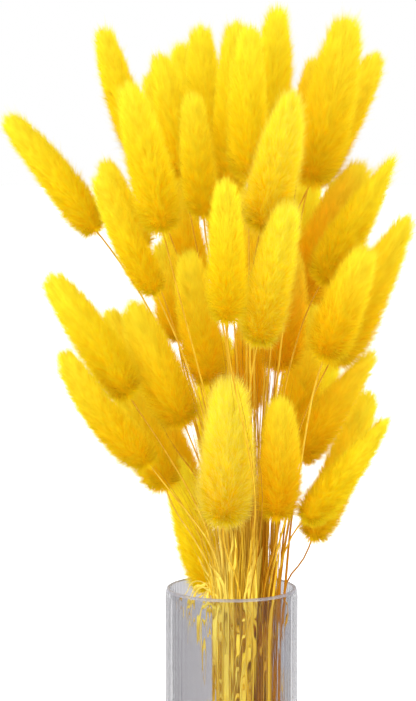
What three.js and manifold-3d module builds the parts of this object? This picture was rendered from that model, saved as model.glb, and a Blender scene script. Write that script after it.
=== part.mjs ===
import * as THREE from 'three';
import Module from 'manifold-3d';
import { mergeVertices } from 'three/addons/utils/BufferGeometryUtils.js';

// A bunch of dried bunny tail grass in a ribbed glass cylinder.
// Millimetres, +Z up. The origin is the middle of the vase's underside, and the bunch is seen
// from the front by a viewer who looks along +Y.

const wasm = await Module();
wasm.setup();

// Vase
const VASE_RADIUS = 30.1; // to the crest of a rib
const VASE_HEIGHT = 160;
const RIBS = 72;
const RIB_DEPTH = 0.6;
const WALL = 1.7; // at its thinnest, between two ribs
const VASE_FLOOR = 8;
const BORE_SIDES = 48;
const BORE_RADIUS = VASE_RADIUS - RIB_DEPTH - WALL;

// Stems
const STEM_RADIUS = 0.75; // to a corner of its three sides
const STEM_SIDES = 3;
const STEM_STEP = 25; // length of a straight stretch above the rim
const FOOT_GAP = 0.3; // over the vase's floor
const STEM_GAP = 0.35; // to other stems, heads and glass
const COLLAR = 9; // the stretch under a head that follows the head's own line
const SUNK = 6; // how far a stem reaches into its head
const BOW = 0.3; // how long a stem keeps its direction at the neck and under its head, as a share
const STEM_ROUNDS = 400; // in which the stems find their way between each other
const GIVE = 0.6; // the share of an overlap that one round takes away
const EVENING = 0.3; // how strongly a stem's joints even out in the first round
const TINY = 0.001;

// The stems stand close together in the neck of the vase, a little right of its axis.
const SLOPE_FROM = 45; // how far below the rim the stems' slopes are taken from
const NECK_X = 9;
const NECK_RADIUS = 18.3;
const NECK_HEIGHT = VASE_HEIGHT + 1;
const BASE_X = 5.5;
const BASE_RADIUS = 15;

// Heads
const SECTORS = 7;
const RINGS = 8;
const RING_LOW = 0.4; // how much nearer than a ring's width the end rings lie to the ends
const RING_EASE = 0.5; // how much the rings crowd towards both ends
const CORE = 0.8; // the core's radius, as a share of the head's
const CORE_FOOT = 0.02; // where the core starts and ends, as shares of the head's length
const CORE_TIP = 0.96;
const TUFT = [0.306, 0.378]; // the shortest and longest tuft, as shares of the head's radius
const TUFT_LOW = THREE.MathUtils.degToRad(-35); // a tuft's rise at the foot of the head
const TUFT_HIGH = THREE.MathUtils.degToRad(80); // and at its tip
const TUFT_BEND = 0.7; // under 1, the tufts turn up early
const FULLEST = 1.06; // a head's radius where it is widest
const BLUNT = [6, 2.6]; // of a head's foot and tip: the higher, the blunter
const TAPER = 0.25; // how much narrower a head is at its tip, as a share
const TIP_OUT = 1.3; // a tip's distance from the axis in depth, beside its foot's
const HEAD_ROUNDS = 600; // in which the heads move apart in depth
const HEAD_NUDGE = 1.2; // the most that one round moves them
const HEAD_GAP = 1.8; // between two heads
const COLLAR_SHARE = -0.15; // the collar's length below the foot, as a share of the head's
const BEADS = 14; // the spheres that stand for a head where it is kept clear of others

// The front view, in picture units of 0.45 mm at the vase's axis. The viewer stands 1.3 m away
// and looks slightly down.
const VIEW_DISTANCE = 1300;
const VIEW_UNIT = 0.45;
const VIEW_PITCH = THREE.MathUtils.degToRad(6.5);
const VIEW_MIDDLE = [208, 350.5];
const VIEW_TARGET = new THREE.Vector3(-10.7, 0, 268);

// Each tail as the front view shows it: the foot and tip of its head, and its width, in picture
// units, and how far behind the vase's axis it starts, in millimetres. A few taper more.
const TAILS = [
  { foot: [97, 232], tip: [6, 117], wide: 37, back: -5 },
  { foot: [156, 294], tip: [98, 174], wide: 32, back: -45 },
  { foot: [144, 249], tip: [105, 162], wide: 31, back: -15 },
  { foot: [145, 158], tip: [103, 28], wide: 34, back: -10 },
  { foot: [163, 231], tip: [128, 86], wide: 41, back: -55 },
  { foot: [178, 175], tip: [149, 76], wide: 34, back: 15 },
  { foot: [183, 178], tip: [159, 57], wide: 38, back: -12 },
  { foot: [194, 183], tip: [181, 45], wide: 39, back: 10 },
  { foot: [211, 175], tip: [200, 27], wide: 39, back: 0 },
  { foot: [204, 217], tip: [193, 95], wide: 34, back: -12 },
  { foot: [232, 190], tip: [237, 21], wide: 38, back: 0 },
  { foot: [249, 180], tip: [250, 27], wide: 38, back: -25 },
  { foot: [265, 155], tip: [278, 8], wide: 42, back: -10 },
  { foot: [261, 228], tip: [292, 94], wide: 45, back: -60 },
  { foot: [300, 160], tip: [315, 61], wide: 35, back: 15 },
  { foot: [309, 183], tip: [347, 21], wide: 50, back: -30 },
  { foot: [311, 183], tip: [378, 54], wide: 37, back: 0 },
  { foot: [294, 301], tip: [362, 166], wide: 46, back: 0 },
  { foot: [322, 283], tip: [395, 157], wide: 42, back: -20, taper: 0.95 },
  { foot: [331, 361], tip: [410, 218], wide: 51, back: -40, taper: 0.85 },
  { foot: [325, 357], tip: [366, 252], wide: 42, back: -50 },
  { foot: [296, 459], tip: [374, 352], wide: 41, back: 5, taper: 0.85 },
  { foot: [311, 540], tip: [370, 391], wide: 38, back: 5 },
  { foot: [304, 521], tip: [388, 417], wide: 35, back: -25, taper: 0.8 },
  { foot: [316, 318], tip: [336, 180], wide: 38, back: 25 },
  { foot: [227, 322], tip: [225, 181], wide: 36, back: -60 },
  { foot: [258, 343], tip: [289, 206], wide: 42, back: -55 },
  { foot: [253, 317], tip: [250, 195], wide: 40, back: -15 },
  { foot: [210, 382], tip: [189, 255], wide: 41, back: -15 },
  { foot: [198, 290], tip: [168, 160], wide: 37, back: 5 },
  { foot: [178, 339], tip: [162, 246], wide: 36, back: 0 },
  { foot: [278, 368], tip: [290, 256], wide: 42, back: 0 },
  { foot: [290, 445], tip: [310, 305], wide: 42, back: 5 },
  { foot: [129, 396], tip: [50, 278], wide: 42, back: -25 },
  { foot: [150, 465], tip: [63, 351], wide: 36, back: -30 },
  { foot: [166, 488], tip: [121, 371], wide: 42, back: -10 },
  { foot: [184, 424], tip: [134, 306], wide: 45, back: -20 },
  { foot: [213, 592], tip: [177, 462], wide: 41, back: 10 },
  { foot: [160, 420], tip: [110, 312], wide: 38, back: 15 },
  { foot: [190, 500], tip: [146, 388], wide: 39, back: 15 },
  { foot: [224, 521], tip: [228, 384], wide: 52, back: -38 },
  { foot: [277, 517], tip: [279, 401], wide: 41, back: -30 },
  { foot: [224, 430], tip: [222, 338], wide: 36, back: 45 },
  { foot: [190, 325], tip: [173, 200], wide: 40, back: 50 },
  { foot: [291, 310], tip: [310, 168], wide: 44, back: 50 },
  { foot: [230, 250], tip: [225, 120], wide: 44, back: 50 },
  { foot: [220, 470], tip: [211, 350], wide: 40, back: 45 },
  { foot: [299, 452], tip: [332, 345], wide: 40, back: 45 },
  { foot: [247, 410], tip: [250, 300], wide: 36, back: 35 },
];

// Two tails keep a dried leaf, which curls over at the rim and hangs inside the glass. Its bends
// are given to the right of and above its root on the stem.
const LEAF_WIDTH = 3;
const LEAF_THICKNESS = 0.7;
const LEAF_STEPS = 9;
const LEAF_SWELL = [0.2, 0.9]; // the stretch of a half wave that its width follows
const LEAVES = [
  { number: 36, height: 150, bends: [[0.4, -3], [-3, 8], [-8, 12], [-11.5, 7], [-11.5, -8], [-10.5, -24]] },
  { number: 34, height: 146, bends: [[0.4, -3], [-2.5, 11], [-6, 15], [-8.5, 10], [-9, -2], [-7, -14]] },
];

const GLASS = { color: 0xd9dbe2, roughness: 0.05, metalness: 0, transparent: true, opacity: 0.35 };
const STRAW = { color: 0xf6cf1e, roughness: 0.9, metalness: 0 };

/** A repeatable random number from 0 to 1 for each call. */
function randomFrom(seed) {
  let state = seed;
  return () => {
    state = (state + 0x6d2b79f5) | 0;
    let mixed = Math.imul(state ^ (state >>> 15), 1 | state);
    mixed = (mixed + Math.imul(mixed ^ (mixed >>> 7), 61 | mixed)) ^ mixed;
    return ((mixed ^ (mixed >>> 14)) >>> 0) / 4294967296;
  };
}

/** The solid that a closed geometry bounds. */
function solid(geometry) {
  const bare = geometry.clone();
  bare.deleteAttribute('normal');
  bare.deleteAttribute('uv');
  const merged = mergeVertices(bare);
  return new wasm.Manifold(
    new wasm.Mesh({
      numProp: 3,
      vertProperties: new Float32Array(merged.attributes.position.array),
      triVerts: new Uint32Array(merged.index.array),
    }),
  );
}

/** A named mesh of a solid, placed by this point of it. */
function meshOf(name, body, place, material) {
  const { vertProperties, triVerts } = body.translate(-place.x, -place.y, -place.z).getMesh();
  const geometry = new THREE.BufferGeometry();
  geometry.setAttribute('position', new THREE.BufferAttribute(vertProperties, 3));
  geometry.setIndex(new THREE.BufferAttribute(triVerts, 1));
  geometry.computeVertexNormals();
  const mesh = new THREE.Mesh(geometry, material);
  mesh.name = name;
  mesh.position.copy(place);
  return mesh;
}

/** The point that the front view shows at a picture place, at this depth along +Y. */
function seenAt([across, down], depth) {
  const ahead = new THREE.Vector3(0, Math.cos(VIEW_PITCH), -Math.sin(VIEW_PITCH));
  const up = new THREE.Vector3(0, Math.sin(VIEW_PITCH), Math.cos(VIEW_PITCH));
  const eye = VIEW_TARGET.clone().addScaledVector(ahead, -VIEW_DISTANCE);
  const ray = ahead.clone().multiplyScalar(VIEW_DISTANCE);
  ray.x += (across - VIEW_MIDDLE[0]) * VIEW_UNIT;
  ray.addScaledVector(up, (VIEW_MIDDLE[1] - down) * VIEW_UNIT);
  return eye.addScaledVector(ray, (depth - eye.y) / ray.y);
}

/** A head's radius at a share of its length, from its blunt foot to its rounder tip. */
function radiusAt({ radius, taper }, share) {
  const blunt = Math.sqrt(1 - Math.abs(2 * share - 1) ** BLUNT[share < 0.5 ? 0 : 1]);
  return radius * blunt * (FULLEST - taper * share ** 2);
}

/** Spheres along a head and its collar, which stand for it where it is kept clear of others. */
function beadsOf(tail) {
  const foot = seenAt(tail.foot, tail.footDepth);
  const tip = seenAt(tail.tip, tail.tipDepth);
  return Array.from({ length: BEADS }, (_, i) => {
    const share = THREE.MathUtils.lerp(COLLAR_SHARE, 1, (i + 0.5) / BEADS);
    const middle = foot.clone().lerp(tip, share);
    return { share, middle, radius: share > 0 ? radiusAt(tail, share) : STEM_RADIUS };
  });
}

/** Moves two heads apart in depth, where they overlap most. Their front view stays. */
function partHeads(one, other) {
  let worst = null;
  for (const a of one.beads) {
    for (const b of other.beads) {
      const reach = a.radius + b.radius + HEAD_GAP;
      const inPlane = (a.middle.x - b.middle.x) ** 2 + (a.middle.z - b.middle.z) ** 2;
      if (inPlane < reach * reach) {
        const short = Math.sqrt(reach * reach - inPlane) - Math.abs(a.middle.y - b.middle.y);
        if (short > 0 && (!worst || short > worst.short)) {
          worst = { short, a, b };
        }
      }
    }
  }
  if (!worst) {
    return false;
  }
  const way = worst.a.middle.y < worst.b.middle.y ? -1 : 1;
  const push = Math.min(worst.short / 2, HEAD_NUDGE);
  for (const [tail, bead, sign] of [[one, worst.a, way], [other, worst.b, -way]]) {
    tail.footDepth += sign * push * (1.5 - bead.share);
    tail.tipDepth += sign * push * (0.5 + bead.share);
  }
  return true;
}

/** Spreads the heads in depth until none overlaps another. */
function spreadHeads(tails) {
  for (let round = 0; round < HEAD_ROUNDS; round += 1) {
    for (const tail of tails) {
      tail.beads = beadsOf(tail);
    }
    let moved = false;
    for (let i = 0; i < tails.length; i += 1) {
      for (let j = i + 1; j < tails.length; j += 1) {
        moved = partHeads(tails[i], tails[j]) || moved;
      }
    }
    if (!moved) {
      return;
    }
  }
}

/** Where each stem passes the neck, those that lean most outermost, and where it stands. */
function seatStems(tails) {
  const leans = tails.map((tail) => {
    const across = tail.foot3.x - NECK_X;
    const height = tail.foot3.z - VASE_HEIGHT + SLOPE_FROM;
    const slope = Math.hypot(across, tail.foot3.y) / height;
    return { tail, slope, angle: Math.atan2(tail.foot3.y, across) };
  });
  leans.sort((a, b) => a.slope - b.slope);
  leans.forEach(({ tail, angle }, rank) => {
    const share = Math.sqrt((rank + 0.5) / leans.length);
    const x = Math.cos(angle) * share;
    const y = Math.sin(angle) * share;
    tail.neck = new THREE.Vector3(NECK_X + x * NECK_RADIUS, y * NECK_RADIUS, NECK_HEIGHT);
    tail.base = new THREE.Vector3(BASE_X + x * BASE_RADIUS, y * BASE_RADIUS, VASE_FLOOR + FOOT_GAP);
  });
}

/** The stem's first course: straight up through the vase, then curving into its head's line. */
function firstCourse(tail) {
  const rise = tail.neck.clone().sub(tail.base).normalize();
  const middle = tail.base.clone().lerp(tail.neck, 0.5);
  const below = tail.foot3.clone().addScaledVector(tail.axis, -COLLAR);
  if (below.z < NECK_HEIGHT) {
    return [tail.base, middle, below, tail.foot3];
  }
  const span = below.distanceTo(tail.neck);
  const bend = new THREE.CubicBezierCurve3(
    tail.neck,
    tail.neck.clone().addScaledVector(rise, span * BOW),
    below.clone().addScaledVector(tail.axis, -span * BOW),
    below,
  );
  const steps = Math.max(1, Math.round(span / STEM_STEP));
  return [tail.base, middle, ...bend.getPoints(steps), tail.foot3];
}

/** How near two straight stretches pass: the share along each, and the gap between them. */
function nearest(a, b, c, d) {
  const u = b.clone().sub(a);
  const v = d.clone().sub(c);
  const w = a.clone().sub(c);
  const uu = u.dot(u);
  const vv = v.dot(v);
  const uv = u.dot(v);
  const spread = uu * vv - uv * uv;
  const start = spread > TINY ? (uv * v.dot(w) - vv * u.dot(w)) / spread : 0;
  let s = THREE.MathUtils.clamp(start, 0, 1);
  const t = THREE.MathUtils.clamp((uv * s + v.dot(w)) / vv, 0, 1);
  s = THREE.MathUtils.clamp((uv * t - u.dot(w)) / uu, 0, 1);
  const apart = w.addScaledVector(u, s).addScaledVector(v, -t);
  return { s, t, apart };
}

/** Shifts a joint of a stem sideways, unless it lies in the collar of its head. */
function shift(stem, joint, move, share) {
  if (joint < stem.length - 2) {
    stem[joint].x += move.x * share;
    stem[joint].y += move.y * share;
  }
}

/** Pushes two stems apart wherever they come too near. */
function partStems(one, other) {
  const room = 2 * STEM_RADIUS + STEM_GAP;
  for (let i = 0; i < one.length - 1; i += 1) {
    for (let j = 0; j < other.length - 1; j += 1) {
      if (one[i].z > other[j + 1].z + room || other[j].z > one[i + 1].z + room) {
        continue;
      }
      const { s, t, apart } = nearest(one[i], one[i + 1], other[j], other[j + 1]);
      const gap = apart.length();
      if (gap < room) {
        apart.multiplyScalar((GIVE * (room - gap)) / Math.max(gap, TINY));
        shift(one, i, apart, 1 - s);
        shift(one, i + 1, apart, s);
        shift(other, j, apart, t - 1);
        shift(other, j + 1, apart, -t);
      }
    }
  }
}

/** The way in which a stem passes another tail's head: square to both, where they are nearest. */
function sideOf(stem, head) {
  let least = head.radius + STEM_RADIUS + STEM_GAP;
  let side = null;
  for (let i = 0; i < stem.length - 1; i += 1) {
    if (stem[i].z < head.tip3.z + least && stem[i + 1].z > head.foot3.z - least) {
      const { apart } = nearest(stem[i], stem[i + 1], head.foot3, head.tip3);
      const gap = apart.length();
      if (gap < least) {
        least = gap;
        side = apart.divideScalar(Math.max(gap, TINY));
      }
    }
  }
  return side;
}

/** Pushes a stem out of another tail's head. */
function clearHead(stem, head) {
  const side = sideOf(stem, head);
  if (!side) {
    return;
  }
  for (let i = 0; i < stem.length - 1; i += 1) {
    const low = stem[i];
    const along = stem[i + 1].clone().sub(low);
    for (const { middle, radius } of head.beads) {
      const ratio = middle.clone().sub(low).dot(along) / along.lengthSq();
      const s = THREE.MathUtils.clamp(ratio, 0, 1);
      const gap = low.clone().addScaledVector(along, s).distanceTo(middle);
      const short = radius + STEM_RADIUS + STEM_GAP - gap;
      if (short > 0) {
        shift(stem, i, side, GIVE * short * (1 - s));
        shift(stem, i + 1, side, GIVE * short * s);
      }
    }
  }
}

/** Keeps what stands inside the vase clear of its glass. */
function stayInBore(stem) {
  const room = BORE_RADIUS - STEM_RADIUS - STEM_GAP;
  for (let i = 0; i < stem.length; i += 1) {
    const off = Math.hypot(stem[i].x, stem[i].y);
    if (stem[i].z <= NECK_HEIGHT && off > room) {
      stem[i].x *= room / off;
      stem[i].y *= room / off;
    }
  }
}

/** Evens out how far the joints above the neck have drifted from the stem's first course. */
function evenDrift(stem, first, strength) {
  const drift = (joint) => stem[joint].clone().sub(first[joint]);
  for (let i = 3; i < stem.length - 2; i += 1) {
    const wanted = drift(i - 1).add(drift(i + 1)).divideScalar(2).sub(drift(i));
    shift(stem, i, wanted, strength);
  }
}

/** Leads every stem between the other stems and heads. */
function leadStems(tails) {
  for (let round = 0; round < STEM_ROUNDS; round += 1) {
    for (const tail of tails) {
      evenDrift(tail.stem, tail.first, EVENING * Math.max(0, 1 - (4 * round) / (3 * STEM_ROUNDS)));
    }
    for (let i = 0; i < tails.length; i += 1) {
      for (let j = i + 1; j < tails.length; j += 1) {
        partStems(tails[i].stem, tails[j].stem);
      }
    }
    for (const tail of tails) {
      for (const other of tails) {
        if (other !== tail) {
          clearHead(tail.stem, other);
        }
      }
      stayInBore(tail.stem);
    }
  }
}

/** A head along +Z with its foot at the origin: a core whose every facet is raised to a tuft. */
function headGeometry(tail, length, random) {
  const corners = [[0, 0, CORE_FOOT * length]];
  const faces = [];
  for (let ring = 1; ring <= RINGS; ring += 1) {
    const even = (ring - RING_LOW) / (RINGS + 1 - 2 * RING_LOW);
    const share = THREE.MathUtils.lerp(even, (1 - Math.cos(Math.PI * even)) / 2, RING_EASE);
    for (let sector = 0; sector < SECTORS; sector += 1) {
      const angle = ((sector + ring / 2) / SECTORS) * 2 * Math.PI;
      const off = CORE * radiusAt(tail, share);
      corners.push([Math.cos(angle) * off, Math.sin(angle) * off, share * length]);
    }
  }
  corners.push([0, 0, CORE_TIP * length]);
  const top = corners.length - 1;
  const at = (ring, sector) => 1 + (ring - 1) * SECTORS + (sector % SECTORS);

  const raise = (facet) => {
    const middle = new THREE.Vector3();
    facet.forEach((corner) => middle.add(new THREE.Vector3(...corners[corner])));
    middle.divideScalar(facet.length);
    const share = middle.z / length;
    const rise = THREE.MathUtils.lerp(TUFT_LOW, TUFT_HIGH, share ** TUFT_BEND);
    const out = new THREE.Vector3(middle.x, middle.y, 0).normalize().multiplyScalar(Math.cos(rise));
    out.z = Math.sin(rise);
    middle.addScaledVector(out, THREE.MathUtils.lerp(...TUFT, random()) * tail.radius);
    corners.push([middle.x, middle.y, middle.z]);
    facet.forEach((corner, i) => faces.push([corner, facet[(i + 1) % facet.length], corners.length - 1]));
  };

  for (let sector = 0; sector < SECTORS; sector += 1) {
    raise([0, at(1, sector + 1), at(1, sector)]);
    for (let ring = 1; ring < RINGS; ring += 1) {
      raise([at(ring, sector), at(ring, sector + 1), at(ring + 1, sector + 1), at(ring + 1, sector)]);
    }
    raise([at(RINGS, sector), at(RINGS, sector + 1), top]);
  }

  const geometry = new THREE.BufferGeometry();
  geometry.setAttribute('position', new THREE.Float32BufferAttribute(corners.flat(), 3));
  geometry.setIndex(faces.flat());
  return geometry;
}

/** A stem's slim three-sided tube, which ends inside its head. */
function stemGeometry(stem, axis) {
  const sunk = stem[stem.length - 1].clone().addScaledVector(axis, SUNK);
  const course = new THREE.CatmullRomCurve3([...stem.slice(0, -1), sunk], false, 'centripetal');
  course.getUtoTmapping = (share) => share; // so that each step ends on a joint of the stem
  const section = new THREE.Shape();
  for (let side = 0; side < STEM_SIDES; side += 1) {
    const angle = (side / STEM_SIDES) * 2 * Math.PI;
    const corner = [Math.cos(angle) * STEM_RADIUS, Math.sin(angle) * STEM_RADIUS];
    if (side === 0) {
      section.moveTo(...corner);
    } else {
      section.lineTo(...corner);
    }
  }
  return new THREE.ExtrudeGeometry(section, {
    steps: stem.length - 1,
    extrudePath: course,
    bevelEnabled: false,
  });
}

/** A dried leaf that springs from a stem, bends over to the left and hangs, narrowing to its end. */
function leafGeometry(stem, { height, bends }) {
  const above = stem.findIndex((joint) => joint.z > height);
  const low = stem[above - 1];
  const root = low.clone().lerp(stem[above], (height - low.z) / (stem[above].z - low.z));
  const course = new THREE.CatmullRomCurve3(
    bends.map(([across, up]) => new THREE.Vector3(root.x + across, root.y, root.z + up)),
  );
  const leaf = new THREE.BoxGeometry(LEAF_THICKNESS, LEAF_WIDTH, 1, 1, 1, LEAF_STEPS);
  const corners = leaf.attributes.position;
  for (let i = 0; i < corners.count; i += 1) {
    const share = corners.getZ(i) + 0.5;
    const along = course.getTangentAt(share);
    const out = new THREE.Vector3(along.z, 0, -along.x).multiplyScalar(corners.getX(i));
    const corner = course.getPointAt(share).add(out);
    corner.y += corners.getY(i) * Math.sin(Math.PI * THREE.MathUtils.lerp(...LEAF_SWELL, share));
    corners.setXYZ(i, ...corner);
  }
  return leaf;
}

/** A stem and its head, grown as one, with its leaf if it has one. */
function tailSolid(tail, seed) {
  const length = tail.foot3.distanceTo(tail.tip3);
  const head = headGeometry(tail, length, randomFrom(seed));
  head.rotateZ(seed);
  head.applyQuaternion(new THREE.Quaternion().setFromUnitVectors(new THREE.Vector3(0, 0, 1), tail.axis));
  head.translate(...tail.foot3);
  const grown = solid(head).add(solid(stemGeometry(tail.stem, tail.axis)));
  const leaf = LEAVES.find(({ number }) => number === seed);
  return leaf ? grown.add(solid(leafGeometry(tail.stem, leaf))) : grown;
}

/** The glass cylinder: ribbed outside, with a smooth round bore. */
function vaseSolid() {
  const ribbed = new THREE.Shape();
  for (let i = 0; i < 2 * RIBS; i += 1) {
    const angle = (i / (2 * RIBS)) * 2 * Math.PI;
    const off = i % 2 === 0 ? VASE_RADIUS : VASE_RADIUS - RIB_DEPTH;
    const corner = [Math.cos(angle) * off, Math.sin(angle) * off];
    if (i === 0) {
      ribbed.moveTo(...corner);
    } else {
      ribbed.lineTo(...corner);
    }
  }
  const outside = new THREE.ExtrudeGeometry(ribbed, { depth: VASE_HEIGHT, bevelEnabled: false });
  const bore = new THREE.CylinderGeometry(BORE_RADIUS, BORE_RADIUS, VASE_HEIGHT, BORE_SIDES);
  bore.rotateX(Math.PI / 2);
  bore.translate(0, 0, VASE_FLOOR + VASE_HEIGHT / 2);
  return solid(outside).subtract(solid(bore));
}

/** The tails with their heads and stems placed. */
function placedTails() {
  const tails = TAILS.map(({ foot, tip, wide, back, taper = TAPER }) => ({
    foot,
    tip,
    taper,
    radius: (wide * VIEW_UNIT) / 2,
    footDepth: back,
    tipDepth: back * TIP_OUT,
  }));
  spreadHeads(tails);
  for (const tail of tails) {
    tail.foot3 = seenAt(tail.foot, tail.footDepth);
    tail.tip3 = seenAt(tail.tip, tail.tipDepth);
    tail.axis = tail.tip3.clone().sub(tail.foot3).normalize();
  }
  seatStems(tails);
  for (const tail of tails) {
    tail.first = firstCourse(tail);
    tail.stem = tail.first.map((joint) => joint.clone());
  }
  leadStems(tails);
  return tails;
}

const bouquet = new THREE.Group();
const glass = new THREE.MeshStandardMaterial(GLASS);
const straw = new THREE.MeshStandardMaterial(STRAW);
bouquet.add(meshOf('vase', vaseSolid(), new THREE.Vector3(), glass));
placedTails().forEach((tail, i) => {
  const name = `tail_${String(i + 1).padStart(2, '0')}`;
  bouquet.add(meshOf(name, tailSolid(tail, i + 1), tail.base, straw));
});

export default bouquet;
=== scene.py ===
import math
from functools import cache

import bmesh
import bpy
import numpy as np
from bpy.props import FloatProperty, FloatVectorProperty, IntProperty, PointerProperty
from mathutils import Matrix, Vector


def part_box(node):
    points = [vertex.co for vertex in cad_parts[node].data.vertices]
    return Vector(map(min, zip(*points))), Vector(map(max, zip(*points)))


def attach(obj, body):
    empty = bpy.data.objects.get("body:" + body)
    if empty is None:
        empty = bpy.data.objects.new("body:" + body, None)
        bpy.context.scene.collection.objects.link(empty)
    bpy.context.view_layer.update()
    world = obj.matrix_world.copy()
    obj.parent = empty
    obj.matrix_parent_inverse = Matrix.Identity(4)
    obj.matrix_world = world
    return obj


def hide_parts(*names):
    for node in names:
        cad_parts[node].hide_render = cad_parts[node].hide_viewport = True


bl_info = {
    "name": "Dried Bunny Tail Grass",
    "version": (1, 0, 0),
    "blender": (4, 5, 0),
    "location": "3D View > Sidebar > Bunny Tails",
    "description": "A bunch of dyed bunny tail grass in a ribbed glass cylinder",
    "category": "Object",
}

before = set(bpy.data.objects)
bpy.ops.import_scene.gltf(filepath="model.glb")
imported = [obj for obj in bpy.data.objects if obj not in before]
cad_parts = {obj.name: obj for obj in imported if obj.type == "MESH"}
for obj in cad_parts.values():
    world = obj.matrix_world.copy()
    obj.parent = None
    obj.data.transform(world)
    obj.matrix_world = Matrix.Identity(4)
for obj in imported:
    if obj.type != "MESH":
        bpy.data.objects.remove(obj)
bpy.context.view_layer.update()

MM = 0.001
SEED = 7

# The solids' own sizes
TAILS = sorted(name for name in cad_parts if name.startswith("tail_"))
STEM_SIDE = 0.75 * MM * math.sqrt(3)  # the side of a stem's three-sided section
COLLAR = 9 * MM  # from the last joint below a head to its foot
HEAD_GAP = 1.2 * COLLAR  # two sections nearer than this are the joint and the head's own
CORE_TIP = 0.96  # the top of a head's core, as a share of its length
CORE = 0.8  # its radius, as a share of the head's
SECTORS = 7  # the corners of each ring of a core
BLUNT = (6, 2.6)  # of a head's foot and tip: the higher, the blunter
WELD = 1e-6  # corners this near each other are one
SIDE_SLACK = 0.01 * MM  # how much the side of a stem's section may differ
NEAR_AXIS = 0.5 * MM
LEVEL_SLACK = 4e-4  # how level a core's ring is, as a share of the head's length
EVEN_SLACK = 0.06 * MM  # and how round
VASE_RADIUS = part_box("vase")[1].x
VASE_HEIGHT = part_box("vase")[1].z
VASE_FLOOR = 8 * MM
BORE_RADIUS = 27.8 * MM

# The photograph's frame, and where its camera stands
LONG_SIDE = 701
VIEW_UNIT = 0.45 * MM
VIEW_DISTANCE = 1300 * MM
VIEW_PITCH = math.radians(6.5)
VIEW_TARGET = Vector((-10.7, 0, 268)) * MM
SENSOR = 36

# The lights: where each stands and how wide it is, in metres, the setting that gives its power,
# how much of it, and whether it casts shadows
LIGHTS = [
    ("key_light", (-0.9, -1.3, 1.3), 0.9, "key", 1.0, True),
    ("fill_light", (1.3, -0.9, 0.7), 1.1, "key", 0.35, True),
    ("left_light", (-1.45, -1.0, 0.75), 1.2, "front", 1.0, False),
    ("right_light", (1.45, -1.0, 0.75), 1.2, "front", 0.75, False),
]
LIGHT_AIM = Vector((0, 0, 0.27))
FLOOR_SIZE = 6
FLOOR_SHINE = 0.4  # how much more the floor shines where it is looked at
WHITE = (1, 1, 1)
BLACK = (0, 0, 0)

# The glass: its ribs, and its section in mm
RIBS = 72
RIB_STEPS = 6
RIB_DEPTH = 0.5 * MM
RIM_BAND = 0.8 * MM  # how far down the rim is ground
OUTER_FOOT = [(2.2, 0), (0.9, 0.3), (0.2, 1.1), (0, 2.4), (0, 4.5)]  # in from the wall, and up
OUTER_LIP = [(0, 4.5), (0.1, 2.5), (0.4, 1.2), (0.7, 0.36), (1.1, 0.09), (1.4, 0)]  # in, and down
BORE_LIP = [(0.4, 0.12), (0.1, 0.6), (0, 1.2)]  # out from the bore, and down from the rim
BORE_FOOT = [(0, 3), (0.5, 1.2), (1.8, 0.2), (4, 0)]  # in from the bore, and up from the floor
RIB_INPUTS = {
    "Ribs": RIBS,
    "Depth": RIB_DEPTH,
    "Bore": BORE_RADIUS,
    "Radius": VASE_RADIUS,
    "Height": VASE_HEIGHT,
    "Fade": 9 * MM,
    "Material": None,
}
# Where the wall is seen along, the glass is darker, partly for the longer way through it and partly as
# painted shade, striped by the ribs for the streaks that refraction makes there
EDGE_POWER = 1.5  # how narrow the grey is where the wall is seen along
EDGE_SHADE = 0.5  # how strong it is between a rib and a groove
RIB_SHADE = 0.4  # and how much weaker or stronger in them

# How deep a head is dyed, from cream at -1 and lemon at 0 to amber at 1
DYE = {
    6: 0.1, 7: 0.1, 14: -0.25, 15: 0.6, 16: 0.3, 17: 0.4, 18: 0.9, 19: 0.1, 20: 0.4, 21: 0.35,
    22: 0.55, 23: 0.35, 25: 0.6, 27: -0.2, 28: 0.6, 29: 0.35, 30: 0.35, 31: 0.45, 32: 1.0, 33: 0.45,
    35: 0.2, 36: 0.3, 37: 0.3, 39: 0.4, 40: 0.5, 41: -0.5, 42: 0.5, 49: 1.0,
}
USUAL_DYE = 0.04
# How far a head bows to the left, in mm. The others bow by one at most, to either side.
BOWS = {1: -1.2, 4: 1.5, 24: -1.0, 34: -1.0, 35: 3.4}
# How much a head's body narrows towards its tip, for the heads with a pointed tip and for the rest
POINTS = {13: 0.5, 14: 0.6, 19: 0.45, 25: 0.5}
USUAL_POINT = 0.05
POINT_START = 0.55  # where it starts, as a share of the head's length
BODY_RINGS = 12
BODY_SIDES = 14
BODY_FOOT = 0.02  # the body's foot, the reach of its rings and its tip, as shares of that length
BODY_REACH = 0.91
BODY_TIP = 0.94
TIP_BOW = 0.06

# The hairs of a head
FLUFF_INPUTS = {
    "Density": 1e6,
    "Foot": (0, 0, 0),
    "Axis": (0, 0, 0),
    "Length": 60 * MM,
    "Hair Length": 7 * MM,
    "Hair Width": 0.3 * MM,
    "Foot Lean": math.radians(78),
    "Tip Lean": math.radians(14),
    "Dye": 0.0,
    "Tufts": 420.0,
    "Seed": 0,
    "Material": None,
}
LEAN_POWER = 0.45  # how soon they lie forward: the lower, the sooner
LEAN_SPREAD = 0.22
STRAY = 0.16  # how far one hair points off its way
PARTING = 1.1  # how far a whole tuft does
TWIST = 0.9
HAIR_LENGTHS = (0.62, 1.12)
SHORT_FOOT = (0.16, 0.75)  # below this share of the head, down to this length
LONG_TIP = (0.75, 1.3)  # above this share of the head, up to this length
LONG_POWER = 24.0  # how few hairs stand far out: the higher, the fewer
LONG_EXTRA = 0.7
SIDEWAYS = 0.97  # how much of its slant along the head a hair's shading normal loses
STRAY_SHADE = 3.0
TONE_SPREAD = 0.25
TUFT_NOISE = (0.35, 0.65)
DYE_STRENGTH = 0.75
# painted shade: the hairs turn amber towards a head's foot, for the warm shade between the heads
PAINTED_FOOT_SHADE = 0.42
FOOT_SHADE_POWER = 2.5  # how near the foot the amber stays: the higher, the nearer
FRESH_START = 0.3
FRESH_POWER = 1.4
FRESHEST = 0.75

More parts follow.
